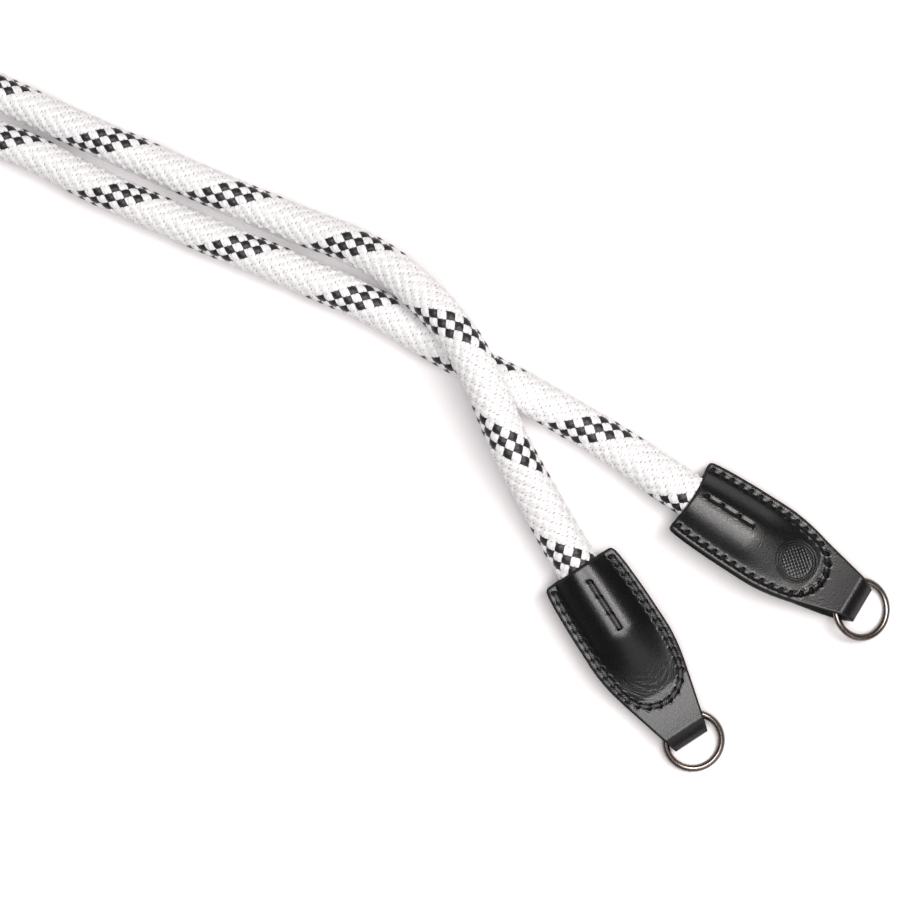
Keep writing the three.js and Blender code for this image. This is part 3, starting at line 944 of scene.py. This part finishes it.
def drawn_in(from_hole, from_row):
    """How far the stitches draw the leather in."""
    hole = HOLE["depth"] * (1 - smoothstep(from_hole, HOLE["floor"], HOLE["rim"]))
    groove = GROOVE["depth"] * (1 - smoothstep(from_row, GROOVE["floor"], GROOVE["half_width"]))
    return max(hole, groove)


def rounded_off(from_edge):
    """How far the face falls away this close to the tab's edge."""
    near = max(0.0, 1 - from_edge / LEATHER["edge_round"])
    return LEATHER["edge_drop"] * near ** 2


def fold_outside(x):
    """Point t, n on the outside of the fold, a Bezier curve: x runs from 0, where the flat top
    ends, to 1 at the tip."""
    start, high, tip = LEATHER["loop_full"], LEATHER["loop_height"], LEATHER["length"]
    shape = [
        (start, high), (start + FOLD["run_on"], high + FOLD["rise"]),
        (tip - FOLD["nose"], high * FOLD["nose_share"]), (tip, 0),
    ]
    shares = [(1 - x) ** 3, 3 * x * (1 - x) ** 2, 3 * x ** 2 * (1 - x), x ** 3]
    return [sum(share * point[i] for share, point in zip(shares, shape)) for i in (0, 1)]


def tab_leather(end, faces, rows):
    """One strip of hide folded round the ring: over the top, round the loop and back below."""
    place = place_on_end(end)
    straight = LEATHER["loop_full"]
    fold = LEATHER["fold_curve"] * (LEATHER["length"] - straight)
    total = 2 * (straight + fold)
    widest = max(row["half"] for row in TAB_OUTLINE)

    bm = bmesh.new()
    bmesh.ops.create_grid(
        bm, x_segments=round(total / HIDE_STEP), y_segments=round(2 * widest / HIDE_STEP), size=0.5,
    )
    hide = bm.loops.layers.uv.new("hide")
    pricked = bm.verts.layers.float.new("from_hole")
    bordering = bm.verts.layers.float.new("from_edge")
    spread = {}
    for vert in bm.verts:
        path, v = (vert.co.x + 0.5) * total, vert.co.y * 2
        turned = path > total / 2
        path = total - path if turned else path
        side = -1 if turned else 1
        vert[pricked] = NO_STITCH
        if path <= straight:
            start = mouth_line(end, v * tab_half(0))
            t = start + path * (straight - start) / straight
            s = v * tab_half(t)
            vert[pricked], from_row = near_stitches(t, s, rows)
            n = face_height(end, t, s, side) - drawn_in(vert[pricked], from_row)
        else:
            t, n = fold_outside((path - straight) / fold)
            s = v * tab_half(t)
        vert[bordering] = min(tab_half(t) - abs(s), path)
        n -= min(rounded_off(vert[bordering]), LEATHER["edge_share"] * n)
        spread[vert] = (t, s + LOWER_PATTERN if turned else s)
        vert.co = place(t, s, side * n)
    for face in bm.faces:
        for loop in face.loops:
            loop[hide].uv = spread[loop.vert]
    # on the table the underside lies flat
    for vert in bm.verts:
        vert.co.z = max(vert.co.z, TABLE_GAP)
    bm.normal_update()
    face_of_top = next(iter(bm.faces))
    if face_of_top.normal.dot(UP) < 0:
        bmesh.ops.reverse_faces(bm, faces=bm.faces)
    piece = add_piece(f"leather_tab_{end['side']}", bm, faces, body="strap")
    thicken(piece)
    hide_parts(f"leather_end_{end['side']}")


def thicken(piece):
    """Gives the hide its wall, inwards from its outer face, and its cut edge a burnished round."""
    wall = piece.modifiers.new("wall", "SOLIDIFY")
    wall.thickness = LEATHER["wall"] * MM
    wall.offset = -1
    wall.use_even_offset = False
    wall.material_offset_rim = 1
    edge = piece.modifiers.new("burnished_edge", "BEVEL")
    edge.width = LEATHER["edge_burnish"] * MM
    edge.segments = 2
    edge.limit_method = "ANGLE"
    edge.angle_limit = math.radians(75)


def sew(end, rows, thread):
    """Thread laid from hole to hole along each row, on both faces of the tab."""
    bm = bmesh.new()
    bm.loops.layers.uv.new("thread")
    for row in rows:
        for side in (1, -1):
            for start, stop in zip(row, row[1:]):
                add_stitch(bm, end, start, stop, side)
    add_piece(f"thread_{end['side']}", bm, [thread], body="strap")


def add_stitch(bm, end, start, stop, side):
    """One stitch: a short length of thread that rises from one hole and dives into the next."""
    place = place_on_end(end)
    uv = bm.loops.layers.uv["thread"]
    made = bmesh.ops.create_grid(bm, x_segments=10, y_segments=8, size=0.5)["verts"]
    (t1, s1), (t2, s2) = start, stop
    run = math.hypot(t2 - t1, s2 - s1)
    aside = (-(s2 - s1) / run, (t2 - t1) / run)
    spread = {}
    for vert in made:
        x, turn = vert.co.x + 0.5, (vert.co.y + 0.5) * 2 * math.pi
        arch = math.sin(math.pi * x) ** 0.5
        t, s = t1 + (t2 - t1) * x, s1 + (s2 - s1) * x
        lump = noise.noise(Vector((
            t * STITCH["lumps_over"], s * STITCH["lumps_over"],
            STITCH["lumps_round"] * math.cos(turn) + side,
        )))
        thick = end["thread_half"] * (STITCH["thinned"] + (1 - STITCH["thinned"]) * arch)
        thick *= 1 + end["thread_fray"] * lump
        rise = face_height(end, t, s, side) + end["thread_stands"] - end["thread_half"]
        rise -= STITCH["dive"] * (1 - arch)
        across = thick * math.cos(turn)
        above = rise + thick * math.sin(turn)
        point = place(t + aside[0] * across, s + aside[1] * across, side * above)
        point.z = max(point.z, TABLE_GAP)
        vert.co = point
        spread[vert] = (x * run, turn * end["thread_half"])
    for face in {face for vert in made for face in vert.link_faces}:
        for loop in face.loops:
            loop[uv].uv = spread[loop.vert]
    bmesh.ops.remove_doubles(bm, verts=made, dist=WELD)


def make_leather_ends():
    edge, thread = painted_edge(), waxed_thread()
    seam = seam_holes()
    for end in ENDS:
        centre = [(t, end["row_aside"]) for t in CENTRE_HOLES]
        face = black_nappa(f"black_nappa_{end['side']}", stamped=end["stamped"])
        tab_leather(end, [face, edge], [seam, centre])
        sew(end, [seam, centre], thread)


# ---------------------------------------------------------------- the rings


def bend_ring(side, metal):
    """A round wire ring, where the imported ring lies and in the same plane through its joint."""
    low, high = (Vector(corner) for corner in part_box(f"ring_{side}"))
    centre = (low + high) / 2
    joint = next(j for j in frame["joints"] if j["name"] == f"{side}_ring_swing")
    axis = Vector(joint["axis"]).normalized()
    out = centre - Vector(joint["pos_m"])
    out = (out - axis * out.dot(axis)).normalized()
    bm = bmesh.new()
    section = bmesh.ops.create_circle(bm, segments=20, radius=RING_WIRE)["verts"]
    upright = Matrix((out, out.cross(axis), axis)).transposed().to_4x4()
    bmesh.ops.transform(bm, matrix=upright, verts=section)
    bmesh.ops.translate(bm, vec=centre + out * RING_RADIUS, verts=section)
    bmesh.ops.spin(
        bm, geom=[*bm.verts, *bm.edges], cent=centre, axis=out.cross(axis), angle=2 * math.pi,
        steps=96, use_merge=True,
    )
    bmesh.ops.recalc_face_normals(bm, faces=bm.faces)
    piece = add_piece(f"ring_wire_{side}", bm, [metal], body=f"{side}_ring")
    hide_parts(f"ring_{side}")


def make_rings():
    gunmetal = polished_gunmetal()
    for end in ENDS:
        bend_ring(end["side"], gunmetal)


# ---------------------------------------------------------------- the studio


def aim_camera():
    data = bpy.data.cameras.new("camera")
    data.sensor_width = SENSOR
    data.lens = SENSOR * VIEW_DISTANCE / VIEW_SPAN
    data.clip_end = 20
    camera = put_in_scene("camera", data)
    half_rope = ROPE_WIDTH / 2
    camera.location = (VIEW_CENTRE[0] * MM, VIEW_CENTRE[1] * MM, VIEW_DISTANCE * MM + half_rope)
    camera.rotation_euler = (0, 0, math.radians(VIEW_TURN))
    bpy.context.scene.camera = camera


def add_softbox(name, azimuth, elevation, size, power, colour):
    """A square soft light that looks at the middle of the view."""
    data = bpy.data.lights.new(name, "AREA")
    data.shape = "SQUARE"
    data.size = size
    data.energy = power
    data.color = hex_colour(colour)[:3]
    light = put_in_scene(name, data)
    turn, rise = math.radians(azimuth), math.radians(elevation)
    toward = Vector((math.cos(turn) * math.cos(rise), math.sin(turn) * math.cos(rise), math.sin(rise)))
    target = Vector((*VIEW_CENTRE, 0)) * MM
    light.location = target + toward * SOFTBOX_DISTANCE
    light.rotation_euler = toward.to_track_quat("Z", "Y").to_euler()


def light_studio():
    for softbox in SOFTBOXES:
        add_softbox(**softbox)
    world = bpy.data.worlds.new("studio_room")
    world.use_nodes = True
    tree = world.node_tree
    tree.nodes.clear()
    room = add(tree, "ShaderNodeBackground", {"Color": hex_colour("#FFF7FB"), "Strength": 0.06})
    output = add(tree, "ShaderNodeOutputWorld")
    tree.links.new(room.outputs["Background"], output.inputs["Surface"])
    bpy.context.scene.world = world
    bpy.context.scene.view_settings.view_transform = "Standard"


def lay_table():
    bm = bmesh.new()
    bmesh.ops.create_grid(bm, x_segments=1, y_segments=1, size=TABLE_HALF)
    table = add_piece("table_top", bm, [faintly_glowing_acrylic()])


aim_camera()
lay_rope()
make_leather_ends()
make_rings()
lay_table()
light_studio()
